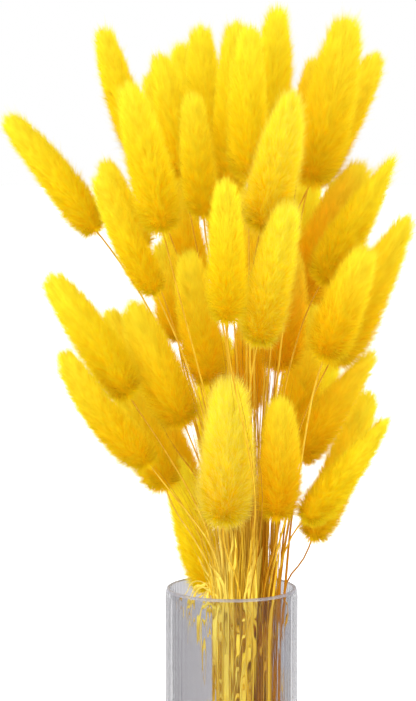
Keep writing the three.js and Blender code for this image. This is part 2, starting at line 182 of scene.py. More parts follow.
# The tone of the straws, from palest at 0 to brownest at 1
PALE_X = -2 * MM  # where the neck's straws are palest, and where brownest
BROWN_X = 17 * MM
PALER = -0.4
BROWNER = 0.45
NECK_TOP = 220 * MM
# painted shade: the straws are browner inside the glass, for the shade among the stems there
GLASS_SHADE_FROM = VASE_HEIGHT + 5 * MM  # the straws inside the glass are browner
GLASS_SHADE_TO = VASE_HEIGHT - 20 * MM
GLASS_SHADE = 0.22
EDGE_TONE = 0.3  # and so are the edges of a leaf
MIDDLE_TONE = 0.15
END_SHADE_POWER = 3.0  # painted shade: a strand darkens towards its end, for the shade where the stalks reach under the heads
END_SHADE = 0.6

# Strands of straw
STRAND_INPUTS = {
    "Radius": 0.5 * MM,
    "Flatness": 1.0,
    "End": 0.7,
    "Sides": 8,
    "Palest": 0.0,
    "Deepest": 1.0,
    "Seed": 0,
    "Material": None,
}
# Their kinds: the setting that gives their radius, how much thicker they are than that, how flat,
# how thick at the end beside the start, and how many sides they have
STALK = ("radius", 1.0, 1.0, 0.6, 6)
THICK_STALK = ("brown_radius", 1.0, 1.0, 0.7, 6)
STRAW = ("straw_radius", 1.0, 1.0, 0.4, 3)
TALL_STRAW = ("straw_radius", 1.2, 1.0, 0.4, 3)
LEAF = ("leaf_radius", 1.0, 0.14, 0.1, 6)
TORN_LEAF = ("leaf_radius", 1.0, 0.14, 0.05, 6)
WIDE_LEAF = ("leaf_radius", 1.3, 0.14, 0.3, 6)
HANGING_LEAF = ("leaf_radius", 1.3, 0.14, 0.05, 6)
HUSK = ("leaf_radius", 1.3, 0.3, 0.4, 6)
STALK_TONES = (0.3, 0.7)
HUSK_TONES = (0.0, 0.5)
STALK_REACH = 0.1  # how far into its head a stalk reaches, as a share of the head's length

# Where loose straws start from: how far left, right and back their stem may stand over the rim,
# and how much less or more they spread than the stems
ANYWHERE = 1
MOST = (-ANYWHERE, 18 * MM, ANYWHERE, 0.9, 1.3)
MIDDLE = (1 * MM, 15 * MM, ANYWHERE, 0.9, 1.3)
FRONT_LEFT = (-12 * MM, 10 * MM, -9 * MM, 1.25, 1.5)
LEFT = (-20 * MM, 0, ANYWHERE, 0.9, 1.3)
NEAR_RIGHT = (10 * MM, ANYWHERE, 8 * MM, 1.0, 1.5)
# Loose straws and leaves: their kind of strand, their palest and deepest tone, how high over the
# rim they reach and over the foot of the glass they start, in mm, how much they sway, and where
LOWEST = VASE_FLOOR / MM + 1
LOOSE = {
    "loose_straws": (STRAW, (0.0, 1.0), (3, 75), (LOWEST, 50), 0.3, MOST),
    "tall_straws": (TALL_STRAW, (0.45, 0.95), (70, 130), (LOWEST, 50), 0.3, MIDDLE),
    "dry_leaves": (LEAF, (0.0, 0.6), (4, 48), (LOWEST, 70), 0.6, MOST),
    "pale_leaves": (WIDE_LEAF, (0.0, 0.2), (4, 42), (LOWEST, 120), 0.5, FRONT_LEFT),
    "hanging_leaves": (HANGING_LEAF, (0.0, 0.15), (-2, 25), (95, 140), 0.7, FRONT_LEFT),
    "torn_leaves": (TORN_LEAF, (0.15, 0.7), (-2, 30), (100, 148), 0.9, MOST),
    "left_straws": (STRAW, (0.0, 0.6), (20, 60), (LOWEST, 50), 0.3, LEFT),
    "brown_stalks": (THICK_STALK, (0.5, 1.0), (45, 90), (LOWEST, 30), 0.2, NEAR_RIGHT),
}
HANGING = ("hanging_leaves", "torn_leaves")
START_LEVEL = VASE_HEIGHT + 30 * MM  # where the stems that straws start from are looked up
NEIGHBOURS = 5
ACROSS = (-0.4, 1.4)  # how far from its stem towards the neighbour a straw stands
KNOTS = 8
STRAW_WIDTHS = (0.7, 1.25)
STRAW_END = 0.1
STRAW_TURN = 0.3
STRAW_ROOM = 26 * MM  # how far from the middle of the glass the straws stay
SHEAF_X = 7 * MM  # the middle of the stems at the rim
SPREAD_REACH = 90 * MM  # how far from the rim the loose straws stand wider than the stems

# The dried leaves that curl over at the rim, in mm, by the tail they grow from: the height of
# a leaf's root, which way it leans in degrees from the right, how far out and up it curls, and
# how far under its root it hangs
HUSKS = {
    36: [(154, 185, 16, 8, 1), (150, 180, 12, 7, 14), (156, 205, 14, 6, 6)],
    34: [(153, 205, 15, 9, 3), (148, 215, 10, 6, 16)],
    1: [(154, 190, 13, 8, 8), (143, 200, 8, 6, 24)],
    39: [(155, 190, 13, 7, 10), (148, 215, 9, 7, 20)],
    35: [(146, 250, 8, 9, 14), (138, 230, 5, 3, 18)],
    40: [(150, 110, 9, 11, 12)],
    26: [(148, 285, 7, 7, 16)],
    24: [(150, 330, 5, 8, 12)],
}
HUSK_RISE = [(0.0, -0.2), (0.1, 0.5), (0.35, 0.95), (0.6, 1.0), (0.85, 0.6)]  # of its reach and rise
HUSK_HANG = [(1.0, 0.0, 0), (0.97, 0.5, 2), (0.9, 1.0, 4)]  # of its reach and drop, and mm more
HUSK_WIDTHS = [0.3, 0.7, 0.35, 0.8, 0.4, 0.8, 0.45, 0.15]
HUSK_CROOK = 1.1
HUSK_TURN = 0.6

# The leaf ends that hang inside the glass, in mm
WISP_HEIGHTS = (112, 158)
WISP_LENGTHS = (6, 20)
WISP_OFF = (0.6, 2.6)  # how far from the stem
WISP_SKEW = 0.25
WISP_TURN = 0.5
WISP_CROOK = 0.5
WISP_KNOTS = [(-0.1, 0.2), (0.2, 0.4), (0.45, 0.25), (0.7, 0.4), (1.0, 0.1)]  # how far down, and width


def maker(kind, **fixed):
    """Makes properties of one kind, from a name, a description and a default."""
    return lambda name, description, default: kind(
        name=name, description=description, default=default, **fixed
    )


colour_property = maker(FloatVectorProperty, subtype="COLOR", size=3, min=0, max=1)
length_property = maker(FloatProperty, unit="LENGTH", min=0, precision=5)
power_property = maker(FloatProperty, unit="POWER", min=0)
share_property = maker(FloatProperty, min=0)
count_property = maker(IntProperty, min=0)


class HeadSettings(bpy.types.PropertyGroup):
    """The fluffy heads."""

    hairs: count_property("Hairs", "Hairs on all heads", 800000)
    hair_width: length_property("Hair Width", "Width of a hair at its root", 0.27 * MM)
    hair_reach: share_property("Hair Length", "Length of a hair beside the head's radius", 0.62)
    body: share_property("Body", "Radius of the body under the hairs beside the head's", 0.7)
    # amber tints the dyed hairs, and as painted shade the hairs towards a head's foot
    amber: colour_property("Amber", "Tint of the deeper dyed hairs", (0.95, 0.64, 0.16))
    cream: colour_property("Cream", "Colour of the least dyed hairs", (1.0, 0.90, 0.42))
    tip: colour_property("Tip", "Colour of the hairs' tips", (1.0, 0.98, 0.06))
    middle: colour_property("Middle", "Colour of the hairs", (1.0, 0.90, 0.004))
    fresh: colour_property("Fresh", "Colour of the hairs at a head's tip", (1.0, 0.97, 0.09))
    # painted shade: the hairs' roots and the body under them, deep in the fur, take this deeper colour;
    # it also gives some hairs a random darker tone
    root: colour_property("Root", "Colour at the hairs' roots", (1.0, 0.74, 0.0))


class StalkSettings(bpy.types.PropertyGroup):
    """The stalks, straws and husks."""

    radius: length_property("Radius", "Radius of a stalk", 0.62 * MM)
    loose_straws: count_property("Loose Straws", "Loose straws in the neck", 400)
    tall_straws: count_property("Tall Straws", "Loose straws that reach up among the heads", 200)
    left_straws: count_property("Left Straws", "Straws at the left of the neck", 40)
    straw_radius: length_property("Straw Radius", "Radius of a loose straw", 0.33 * MM)
    dry_leaves: count_property("Dry Leaves", "Dry leaves in the neck", 75)
    torn_leaves: count_property("Torn Leaves", "Dry leaves whose tips hang in the glass", 50)
    pale_leaves: count_property("Pale Leaves", "Wide pale leaves in front", 14)
    hanging_leaves: count_property("Hanging Leaves", "Wide pale leaves that hang in front", 14)
    leaf_radius: length_property("Leaf Radius", "Half the width of a dry leaf", 1.2 * MM)
    brown_stalks: count_property("Brown Stalks", "Thick stalks at the right", 14)
    brown_radius: length_property("Brown Radius", "Radius of a thick brown stalk", 0.7 * MM)
    wisps: count_property("Wisps", "Leaf ends on each stem in the glass", 3)
    light: colour_property("Light", "Colour of the palest straw", (1.0, 0.86, 0.15))
    usual: colour_property("Usual", "Colour of most straws", (1.0, 0.72, 0.05))
    dark: colour_property("Dark", "Colour of the darkest straw", (0.40, 0.15, 0.002))


class VaseSettings(bpy.types.PropertyGroup):
    """The ribbed glass cylinder."""

    tint: colour_property("Tint", "Colour of the glass in front", (0.68, 0.675, 0.685))
    # painted shade: the glass is darker at the back, for the dark surroundings seen through it
    back: colour_property("Back", "Colour of the glass at the back", (0.50, 0.49, 0.51))
    # partly painted shade, where the wall is seen along
    edge: colour_property("Edge", "Colour of the glass seen along its wall", (0.20, 0.20, 0.22))
    rim: colour_property("Rim", "Colour of the ground rim", (0.48, 0.47, 0.51))
    worn_rim: colour_property("Worn Rim", "Colour of the rim where it is worn", (0.34, 0.33, 0.37))
    rib_depth: length_property("Rib Depth", "Depth of the ribs", RIB_DEPTH)


class StageSettings(bpy.types.PropertyGroup):
    """The lights and the floor."""

    key: power_property("Key Light", "Power of the key light", 9)
    front: power_property("Front Lights", "Power of each light beside the camera", 13.2)
    sky: share_property("Surroundings", "Brightness of the surroundings", 0.83)
    floor: colour_property("Floor", "Colour of the floor", (0.9, 0.9, 0.9))
    glow: share_property("Floor Glow", "How much the lit floor shines up", 0.3)


class Wiring:
    """Adds nodes to a tree and joins them."""

    def __init__(self, tree):
        self.tree = tree

    def add(self, kind, values=None, **settings):
        """A node with these settings, its inputs set or joined by name or place.

        A node among the values stands for its first output, and a colour has no alpha.
        """
        node = self.tree.nodes.new(kind)
        for name, value in settings.items():
            setattr(node, name, value)
        for key, value in (values or {}).items():
            target = node.inputs[key] if isinstance(key, int) else self.shown(node.inputs, key)
            if isinstance(value, bpy.types.Node):
                value = value.outputs[0]
            if isinstance(value, bpy.types.NodeSocket):
                self.tree.links.new(value, target)
            elif target.type == "RGBA":
                target.default_value = (*value, 1.0)
            else:
                target.default_value = value
        return node

    def shown(self, sockets, name):
        return next(s for s in sockets if s.enabled and s.name == name)

    def math(self, operation, *values):
        return self.add("ShaderNodeMath", dict(enumerate(values)), operation=operation).outputs[0]

    def times(self, a, b):
        return self.math("MULTIPLY", a, b)

    def vector(self, operation, *values):
        """A vector sum. For SCALE, the second value is the scale."""
        values = dict(enumerate(values))
        if operation == "SCALE":
            values["Scale"] = values.pop(1)
        node = self.add("ShaderNodeVectorMath", values, operation=operation)
        return next(s for s in node.outputs if s.enabled)

    def xyz(self, value):
        """The three parts of a vector."""
        return self.add("ShaderNodeSeparateXYZ", {0: value}).outputs

    def joined_xyz(self, x, y, z):
        return self.add("ShaderNodeCombineXYZ", {"X": x, "Y": y, "Z": z})

    def ramp(self, value, start=0.0, end=1.0, first=0.0, last=1.0):
        """Goes from first to last while the value goes from start to end, and no further."""
        node = self.add(
            "ShaderNodeMapRange",
            {"Value": value, "From Min": start, "From Max": end, "To Min": first, "To Max": last},
        )
        return node.outputs[0]

    def blend(self, factor, a, b, way="MIX"):
        """A colour between two."""
        node = self.add(
            "ShaderNodeMix", {"Factor": factor, "A": a, "B": b}, data_type="RGBA", blend_type=way
        )
        return self.shown(node.outputs, "Result")

    def end(self, surface):
        """Ends a material's tree."""
        self.add("ShaderNodeOutputMaterial", {"Surface": surface})

    def attribute(self, name):
        return self.add("ShaderNodeAttribute", attribute_name=name).outputs["Fac"]

    def object_place(self):
        return self.add("ShaderNodeTexCoord").outputs["Object"]

    def place(self):
        return self.add("GeometryNodeInputPosition")

    def random(self, low, high, seed, kind="FLOAT"):
        values = {"Min": low, "Max": high, "Seed": seed}
        node = self.add("FunctionNodeRandomValue", values, data_type=kind)
        return self.shown(node.outputs, "Value")

    def store(self, geometry, name, value, kind="FLOAT", domain="POINT"):
        """Geometry that carries this value under a name."""
        node = self.add(
            "GeometryNodeStoreNamedAttribute",
            {"Geometry": geometry, "Name": name, "Value": value},
            data_type=kind,
            domain=domain,
        )
        return node.outputs[0]


SOCKETS = {float: "Float", int: "Int", tuple: "Vector", type(None): "Material"}


def add_socket(tree, label, kind, way="INPUT"):
    return tree.interface.new_socket(label, in_out=way, socket_type=f"NodeSocket{kind}")


def geometry_tree(name, inputs):
    """A geometry tree with these named inputs besides its geometry: its wiring and its inputs."""
    tree = bpy.data.node_groups.new(name, "GeometryNodeTree")
    add_socket(tree, "Geometry", "Geometry")
    add_socket(tree, "Geometry", "Geometry", "OUTPUT")
    for label, default in inputs.items():
        made = add_socket(tree, label, SOCKETS[type(default)])
        if default is not None:
            made.default_value = default
    w = Wiring(tree)
    return w, w.add("NodeGroupInput").outputs


def finish_tree(w, geometry, material):
    """Ends a tree in Realize Instances and Set Material."""
    real = w.add("GeometryNodeRealizeInstances", {"Geometry": geometry})
    worn = w.add("GeometryNodeSetMaterial", {"Geometry": real, "Material": material})
    w.add("NodeGroupOutput", {"Geometry": worn})
    return w.tree


def sideways(w, normal, axis):
    """A normal almost without its part along an axis."""
    endwise = w.times(w.vector("DOT_PRODUCT", normal, axis), -SIDEWAYS)
    return w.vector("NORMALIZE", w.vector("ADD", normal, w.vector("SCALE", axis, endwise)))


def one_hair(w, given):
    """A flat, three-cornered hair that stands up from its root."""
    triangle = w.add("GeometryNodeMeshCircle", {"Vertices": 3, "Radius": 1.0}, fill_type="NGON")
    corner = w.xyz(w.place())
    reach = w.math("DIVIDE", w.math("ADD", corner["X"], 0.5), 1.5)  # 0 at the root and 1 at the tip
    side = w.math("DIVIDE", corner["Y"], -math.sqrt(3))
    across = w.times(side, given["Hair Width"])
    shaped = w.joined_xyz(0.0, across, w.times(reach, given["Hair Length"]))
    hair = w.store(triangle, "along", reach)
    return w.add("GeometryNodeSetPosition", {"Geometry": hair, "Position": shaped})


def hair_turn(w, way, aside, seed):
    """Turns a hair to its way, with one side out, and twists it a little."""
    turn = w.add(
        "FunctionNodeAxesToRotation",
        {"Primary Axis": way, "Secondary Axis": aside},
        primary_axis="Z",
        secondary_axis="X",
    )
    twist = w.add(
        "FunctionNodeAxisAngleToRotation",
        {"Axis": (0.0, 0.0, 1.0), "Angle": w.random(-TWIST, TWIST, seed)},
    )
    return w.add(
        "FunctionNodeRotateRotation",
        {"Rotation": turn, "Rotate By": twist},
        rotation_space="LOCAL",
    )


def hair_scale(w, share, seed):
    """Makes hairs shorter at a head's foot and longer at its tip, and a few much longer."""
    low, shortest = SHORT_FOOT
    high, longest = LONG_TIP
    usual = w.random(*HAIR_LENGTHS, w.math("ADD", seed, 4))
    usual = w.times(usual, w.ramp(share, end=low, first=shortest))
    usual = w.times(usual, w.ramp(share, start=high, first=1.0, last=longest))
    far = w.math("POWER", w.random(0.0, 1.0, w.math("ADD", seed, 5)), LONG_POWER)
    return w.joined_xyz(1.0, 1.0, w.math("MULTIPLY_ADD", far, LONG_EXTRA, usual))


def fluff_tree():
    """Hairs all over a head's body, which stand out at its foot and lie forward at its tip."""
    w, given = geometry_tree("Fluff", FLUFF_INPUTS)
    seed = given["Seed"]
    axis = given["Axis"]
    place = w.place()
    away = w.vector("SUBTRACT", place, given["Foot"])
    share = w.math("DIVIDE", w.vector("DOT_PRODUCT", away, axis), given["Length"])
    share = w.math("MAXIMUM", share, 0.0)
    # painted shade: amber that grows towards a head's foot, for the shade between the heads
    under = w.math("POWER", w.math("SUBTRACT", 1.0, w.math("MINIMUM", share, 1.0)), FOOT_SHADE_POWER)
    dyed = w.times(w.math("MAXIMUM", given["Dye"], 0.0), DYE_STRENGTH)
    amber = w.math("ADD", dyed, w.times(under, PAINTED_FOOT_SHADE))
    body_normal = w.add("GeometryNodeInputNormal")
    body = w.store(given["Geometry"], "lay", sideways(w, body_normal, axis), "FLOAT_VECTOR")
    body = w.store(body, "amber", amber)
    scatter = w.add(
        "GeometryNodeDistributePointsOnFaces",
        {"Mesh": body, "Density": given["Density"], "Seed": seed},
    )

    normal = scatter.outputs["Normal"]
    lean = w.math("POWER", share, LEAN_POWER)
    lean = w.ramp(lean, first=given["Foot Lean"], last=given["Tip Lean"])
    lean = w.math("ADD", lean, w.random(-LEAN_SPREAD, LEAN_SPREAD, seed))
    forward = w.vector("SCALE", axis, w.math("COSINE", lean))
    outward = w.vector("SCALE", normal, w.math("SINE", lean))
    stray = w.random([-STRAY] * 3, [STRAY] * 3, w.math("ADD", seed, 1), "FLOAT_VECTOR")
    tufts = w.add("ShaderNodeTexNoise", {"Vector": place, "Scale": given["Tufts"], "Detail": 1.0})
    parting = w.vector("SUBTRACT", tufts.outputs["Color"], (0.5, 0.5, 0.5))
    parting = w.vector("SCALE", parting, PARTING)
    way = w.vector("ADD", w.vector("ADD", forward, outward), w.vector("ADD", stray, parting))

    aside = sideways(w, normal, axis)
    facing = w.vector("NORMALIZE", w.vector("ADD", aside, w.vector("SCALE", stray, STRAY_SHADE)))
    own = w.random(-TONE_SPREAD, TONE_SPREAD, w.math("ADD", seed, 2))
    tone = w.math("ADD", w.ramp(tufts, *TUFT_NOISE), own)
    fresh = w.math("POWER", w.ramp(share, start=FRESH_START), FRESH_POWER)
    points = w.store(scatter.outputs["Points"], "lay", facing, "FLOAT_VECTOR")
    points = w.store(points, "tone", tone)
    points = w.store(points, "fresh", fresh)
    points = w.store(points, "cream", w.times(given["Dye"], -1.0))

    hairs = w.add(
        "GeometryNodeInstanceOnPoints",
        {
            "Points": points,
            "Instance": one_hair(w, given),
            "Rotation": hair_turn(w, way, aside, w.math("ADD", seed, 3)),
            "Scale": hair_scale(w, share, seed),
        },
    )
    joined = w.add("GeometryNodeJoinGeometry", {0: body})
    w.tree.links.new(hairs.outputs[0], joined.inputs[0])
    return finish_tree(w, joined, given["Material"])


@cache
def strand_tree():
    """A round or flattened strand along each curve, which narrows towards its end."""
    w, given = geometry_tree("Strand", STRAND_INPUTS)
    along = w.add("GeometryNodeSplineParameter").outputs["Factor"]
    width = w.add("GeometryNodeInputRadius")
    slim = w.ramp(along, first=1.0, last=given["End"])
    thick = w.times(w.times(given["Radius"], width), slim)
    own = w.random(given["Palest"], given["Deepest"], given["Seed"])
    curve = w.store(given["Geometry"], "along", along)
    curve = w.store(curve, "tone", own, domain="CURVE")
    ring = w.add("GeometryNodeCurvePrimitiveCircle", {"Resolution": given["Sides"], "Radius": 1.0})
    edge = w.ramp(w.math("ABSOLUTE", w.xyz(w.place())["X"]), start=0.5)
    edged = w.store(ring, "edge", edge)
    flat = w.joined_xyz(1.0, given["Flatness"], 1.0)
    section = w.add("GeometryNodeTransform", {"Geometry": edged, "Scale": flat})
    tube = w.add(
        "GeometryNodeCurveToMesh",
        {"Curve": curve, "Profile Curve": section, "Scale": thick, "Fill Caps": True},
    )
    smooth = w.add("GeometryNodeSetShadeSmooth", {"Geometry": tube})
    return finish_tree(w, smooth, given["Material"])


def rib_tree():
    """Rounded ribs round the outside of the glass, which fade at its rim and foot."""
    w, given = geometry_tree("Ribs", RIB_INPUTS)
    at = w.xyz(w.place())
    level = w.joined_xyz(at["X"], at["Y"], 0.0)
    angle = w.math("ARCTAN2", at["Y"], at["X"])
    wave = w.math("COSINE", w.times(angle, given["Ribs"]))
    groove = w.times(w.math("MULTIPLY_ADD", wave, -0.5, 0.5), given["Depth"])
    outer = w.ramp(w.vector("LENGTH", level), given["Bore"], given["Radius"])
    near = w.math("MINIMUM", w.math("SUBTRACT", given["Height"], at["Z"]), at["Z"])
    fade = w.ramp(near, end=given["Fade"])
    move = w.times(groove, w.times(w.math("GREATER_THAN", outer, 0.5), fade))
    inward = w.vector("SCALE", w.vector("NORMALIZE", level), w.times(move, -1.0))
    ribbed = w.add("GeometryNodeSetPosition", {"Geometry": given["Geometry"], "Offset": inward})
    smooth = w.add("GeometryNodeSetShadeSmooth", {"Geometry": ribbed})
    return finish_tree(w, smooth, given["Material"])


def grow(obj, tree, **values):
    """Puts a geometry tree on an object, with its inputs set by name."""
    modifier = obj.modifiers.new(tree.name, "NODES")
    modifier.node_group = tree
    for item in tree.interface.items_tree:
        key = item.name.lower().replace(" ", "_")
        if item.in_out == "INPUT" and key in values:
            modifier[item.identifier] = values[key]


def settle(obj):
    """The plain mesh of what an object's modifiers made, as a new object in its place."""
    shown = obj.evaluated_get(bpy.context.evaluated_depsgraph_get())
    mesh = bpy.data.meshes.new_from_object(shown)
    name = obj.name
    bpy.data.objects.remove(obj)
    mesh.name = name
    return put_in(name, mesh)


def put_in(name, data):
    """A new object of this data in the scene."""
    obj = bpy.data.objects.new(name, data)
    bpy.context.scene.collection.objects.link(obj)
    return obj


def put_mesh(name, mesh):
    """A new object of a mesh in the making."""
    data = bpy.data.meshes.new(name)
    mesh.to_mesh(data)
    mesh.free()
    return put_in(name, data)


def place_piece(obj, node):
    """A finished piece stands for its solid."""
    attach(obj, "root")
    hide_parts(node)


class Tail:
    """A tail as its solid gives it: its stem's joints, and its head's foot, way and sizes."""

    def __init__(self, name):
        solid = bmesh.new()
        solid.from_mesh(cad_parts[name].data)
        bmesh.ops.remove_doubles(solid, verts=solid.verts, dist=WELD)
        points = np.array([v.co for v in solid.verts])
        solid.free()
        rings = self.rings(points)
        middles = [points[list(ring)].mean(axis=0) for ring in rings]
        while np.linalg.norm(middles[-1] - middles[-2]) < HEAD_GAP:
            rings.pop()
            middles.pop()
        self.joints = [Vector(middle) for middle in middles]
        below = middles[-1]
        used = {corner for ring in rings for corner in ring}
        high = [i for i in range(len(points)) if i not in used and points[i][2] > below[2] - COLLAR]
        head = points[high]
        axis = head.mean(axis=0) - below
        axis /= np.linalg.norm(axis)
        foot = below + axis * COLLAR
        along = (head - foot) @ axis
        off = np.linalg.norm(head - foot - np.outer(along, axis), axis=1)
        self.length = along[off < NEAR_AXIS].max() / CORE_TIP
        self.axis = Vector(axis)
        self.foot = Vector(foot)
        self.radius, self.taper = self.shape(along / self.length, off / CORE)

    def rings(self, points):
        """The stem's three-cornered sections, from the bottom up."""
        apart = np.linalg.norm(points[:, None] - points[None], axis=2)
        mates = np.abs(apart - STEM_SIDE) < SIDE_SLACK
        found = []
        for i in range(len(points)):
            later = [j for j in np.flatnonzero(mates[i]) if j > i]
            for j in later:
                found += [(i, j, k) for k in later if k > j and mates[j, k]]
        return sorted(found, key=lambda ring: points[list(ring)].mean(axis=0)[2])

    def shape(self, shares, offs):
        """The head's full radius and how much it narrows, from the core's level rings."""
        order = np.argsort(shares)
        level = []
        for start in range(len(order) - SECTORS + 1):
            ring = order[start : start + SECTORS]
            if np.ptp(shares[ring]) < LEVEL_SLACK and np.ptp(offs[ring]) < EVEN_SLACK:
                level.append((shares[ring].mean(), offs[ring].mean()))
        share, off = np.array(level).T
        blunt = np.sqrt(1 - np.abs(2 * share - 1) ** np.where(share < 0.5, *BLUNT))
        parts = np.stack([blunt, -blunt * share**2], axis=1)
        return np.linalg.lstsq(parts, off, rcond=None)[0]

    def radius_at(self, share):
        blunt = math.sqrt(1 - abs(2 * share - 1) ** BLUNT[share > 0.5])
        return blunt * (self.radius - self.taper * share**2)

    def at(self, height):
        """Where the stem passes this height."""
        for low, high in zip(self.joints, self.joints[1:]):
            if high.z >= height:
                return low.lerp(high, (height - low.z) / (high.z - low.z))
        return self.joints[-1]


@cache
def tails():
    return {name: Tail(name) for name in TAILS}


def circle(count):
    """The ways round a circle."""
    angles = [2 * math.pi * step / count for step in range(count)]
    return [(math.cos(angle), math.sin(angle)) for angle in angles]


def closed_skin(name, low, rows, high):
    """A smooth object through rings of points, closed by a fan at either end."""
    mesh = bmesh.new()
    foot = mesh.verts.new(low)
    rings = [[mesh.verts.new(spot) for spot in row] for row in rows]
    tip = mesh.verts.new(high)
    sides = len(rings[0])
    for side in range(sides):
        after = (side + 1) % sides
        mesh.faces.new((foot, rings[0][after], rings[0][side]))
        mesh.faces.new((tip, rings[-1][side], rings[-1][after]))
        for a, b in zip(rings, rings[1:]):
            mesh.faces.new((a[side], a[after], b[after], b[side]))
    for face in mesh.faces:
        face.smooth = True
    return put_mesh(name, mesh)


def head_body(name, tail, size, bow, point):
    """The closed body under a head's hairs, which bows a little to one side."""
    turn = tail.axis.to_track_quat("Z", "Y")
    aside = Vector((-tail.axis.z, 0, tail.axis.x)) * 4 * bow  # a bow in full halfway up
    low = tail.foot + turn @ Vector((0, 0, BODY_FOOT * tail.length))
    high = tail.foot + turn @ Vector((0, 0, BODY_TIP * tail.length)) + aside * TIP_BOW
    rows = []
    for ring in range(1, BODY_RINGS):
        share = BODY_FOOT + BODY_REACH * (1 - math.cos(math.pi * ring / BODY_RINGS)) / 2
        narrow = 1 - point * max(0, (share - POINT_START) / (1 - POINT_START)) ** 2
        off = size * tail.radius_at(share) * narrow
        row = []
        for x, y in circle(BODY_SIDES):
            spot = Vector((x * off, y * off, share * tail.length))
            row.append(tail.foot + turn @ spot + aside * share * (1 - share))
        rows.append(row)
    return closed_skin(name, low, rows, high)


def curve_along(name, courses):
    """A curve object of smooth splines through these courses of (point, width, turn)."""
    data = bpy.data.curves.new(name, "CURVE")
    data.dimensions = "3D"
    for course in courses:
        spline = data.splines.new("BEZIER")
        spline.bezier_points.add(len(course) - 1)
        spline.resolution_u = 3
        for knot, (spot, width, turn) in zip(spline.bezier_points, course):
            knot.co = spot
            knot.radius = width
            knot.tilt = turn
            knot.handle_left_type = knot.handle_right_type = "AUTO"
    return put_in(name, data)


def grow_strands(curve, kind, shades, seed=0):
    """Strands of straw along a curve object, from palest to deepest of these shades."""
    source, thicker, flatness, end, sides = kind
    palest, deepest = shades
    grow(
        curve,
        strand_tree(),
        radius=thicker * getattr(bpy.context.scene.bunny_stalks, source),
        flatness=flatness,
        end=end,
        sides=sides,
        palest=palest,
        deepest=deepest,
        seed=seed,
        material=straw_material(),
    )


@cache
def tone_group():
    """A colour between two that wanders over the surface in streaks."""
    tree = bpy.data.node_groups.new("Dyed Tone", "ShaderNodeTree")
    for label, kind in [("Pale", "Color"), ("Deep", "Color"), ("Streaks", "Vector"), ("Depth", "Float")]:
        add_socket(tree, label, kind)
    add_socket(tree, "Colour", "Color", "OUTPUT")
    add_socket(tree, "Mask", "Float", "OUTPUT")
    w = Wiring(tree)
    given = w.add("NodeGroupInput").outputs
    stretched = w.vector("MULTIPLY", w.object_place(), given["Streaks"])
    noise = w.add("ShaderNodeTexNoise", {"Vector": stretched, "Scale": 1.0, "Detail": 3.0})
    mask = w.times(w.ramp(noise, 0.32, 0.68), given["Depth"])
    mixed = w.blend(mask, given["Pale"], given["Deep"])
    w.add("NodeGroupOutput", {"Colour": mixed, "Mask": mask})
    return tree


def toned(w, pale, deep, streaks, depth):
    """The tone group with its own values: its colour and its mask."""
    values = {"Pale": pale, "Deep": deep, "Streaks": streaks, "Depth": depth}
    node = w.add("ShaderNodeGroup", values, node_tree=tone_group())
    return node.outputs["Colour"], node.outputs["Mask"]


def material(name):
    """An empty material and its wiring."""
    made = bpy.data.materials.new(name)
    made.use_nodes = True
    made.node_tree.nodes.clear()
    return made, Wiring(made.node_tree)


def fluff_material(settings):
    """Soft dyed hairs, paler to the tip, with painted shade: deep yellow at the root, deep in the fur,
    and amber towards a head's foot.
    """
    made, w = material("Dyed Fluff")
    along = w.attribute("along")
    tone = w.attribute("tone")
    high = w.ramp(along, start=0.5)
    body, _ = toned(w, settings.middle, settings.root, (70, 70, 70), 0.15)
    # painted shade: deep yellow towards each hair's root, deep in the fur, and on the body under the
    # hairs, which has no 'along'
    tint = w.blend(w.ramp(along, end=0.45), settings.root, body)
    tint = w.blend(high, tint, settings.tip)
    # the dye's amber, and painted shade towards a head's foot
    tint = w.blend(w.attribute("amber"), tint, settings.amber, "MULTIPLY")
    fresh = w.times(w.attribute("fresh"), FRESHEST)
    tint = w.blend(fresh, tint, settings.fresh)
    tint = w.blend(w.ramp(tone, first=0.25, last=0.0), tint, settings.root)
    pale = w.times(w.math("MAXIMUM", w.attribute("cream"), 0.0), high)
    tint = w.blend(pale, tint, settings.cream)
    bright = w.ramp(tone, first=0.9)
    varied = w.add("ShaderNodeHueSaturation", {"Color": tint, "Value": bright})
    soft = w.add(
        "ShaderNodeBsdfPrincipled",
        {
            "Base Color": varied,
            "Roughness": 0.85,
            "Specular IOR Level": 0.08,
            "Sheen Weight": 0.15,
            "Sheen Roughness": 0.5,
            "Sheen Tint": (1.0, 0.9, 0.1),
        },
    )
    through = w.add("ShaderNodeBsdfTranslucent", {"Color": varied})
    both = w.add("ShaderNodeMixShader", {0: 0.5, 1: soft, 2: through})
    w.end(both)
    return made


